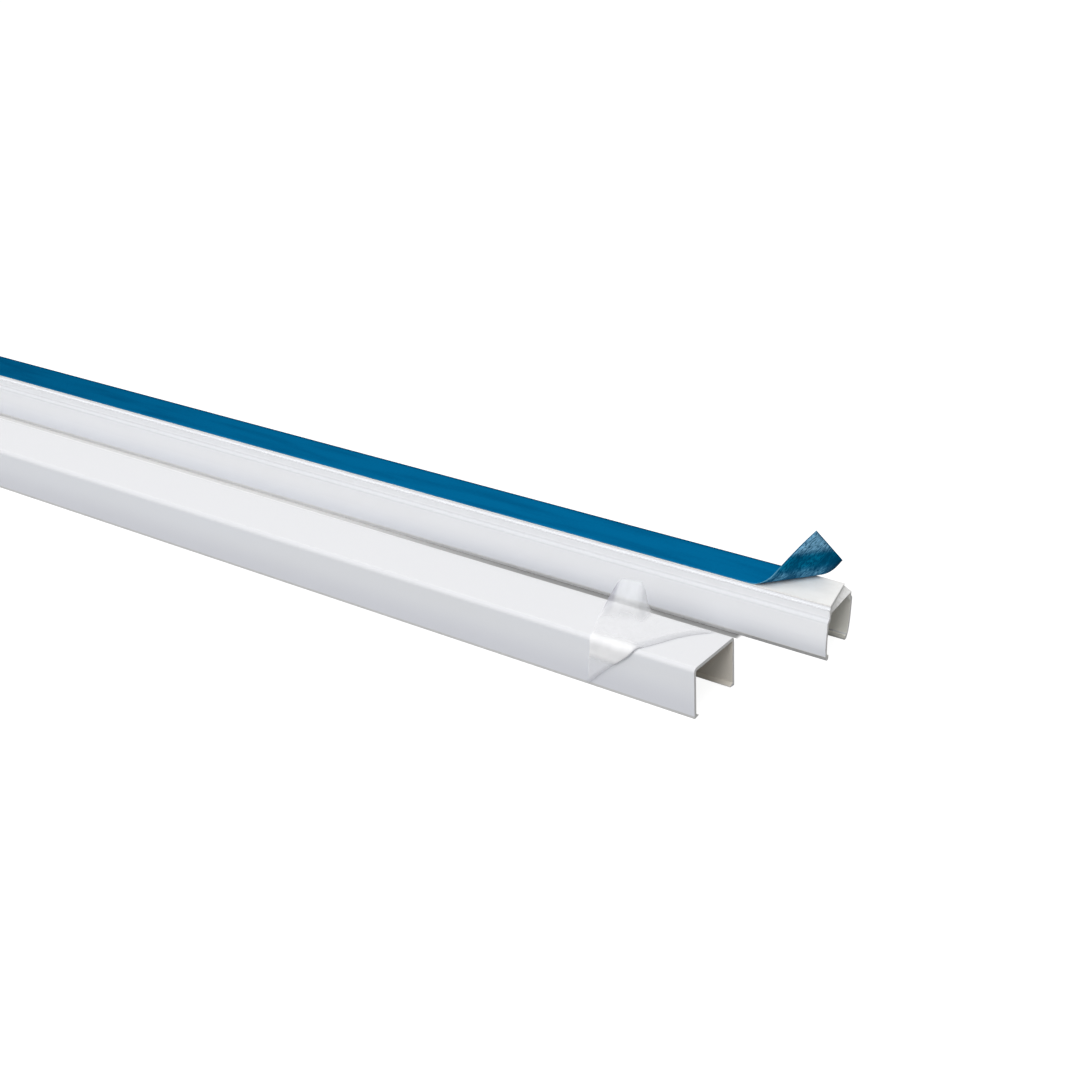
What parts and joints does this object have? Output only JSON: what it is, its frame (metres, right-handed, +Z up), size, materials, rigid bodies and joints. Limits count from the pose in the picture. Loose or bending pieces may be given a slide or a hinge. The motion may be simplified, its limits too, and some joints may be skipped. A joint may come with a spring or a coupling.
{
  "type": "cord cover raceway",
  "caption": "Surface raceway for cords: a stuck-on base channel with a blue release liner peeled at one end, and its clip-on cover lying beside it.",
  "frame": {"origin": "on the floor, under the middle of the box around the base and the cover as they lie side by side", "axes": "+X along the stock towards the hand-sawn end with the peeled liner, +Y from the cover towards the base, +Z up, from the open side of the channels to their closed backs"},
  "size_m": [0.4168, 0.0681, 0.0359],
  "materials": {
    "white_plastic": "semi-gloss extruded PVC",
    "adhesive": "white pressure-sensitive tape",
    "liner": "smooth blue release film",
    "clear_film": "clear protective film"
  },
  "bodies": {
    "root": {"base_channel": "white_plastic", "cover_channel": "white_plastic", "adhesive_strip": "adhesive", "release_liner": "liner", "protective_film": "clear_film"}
  },
  "joints": []
}
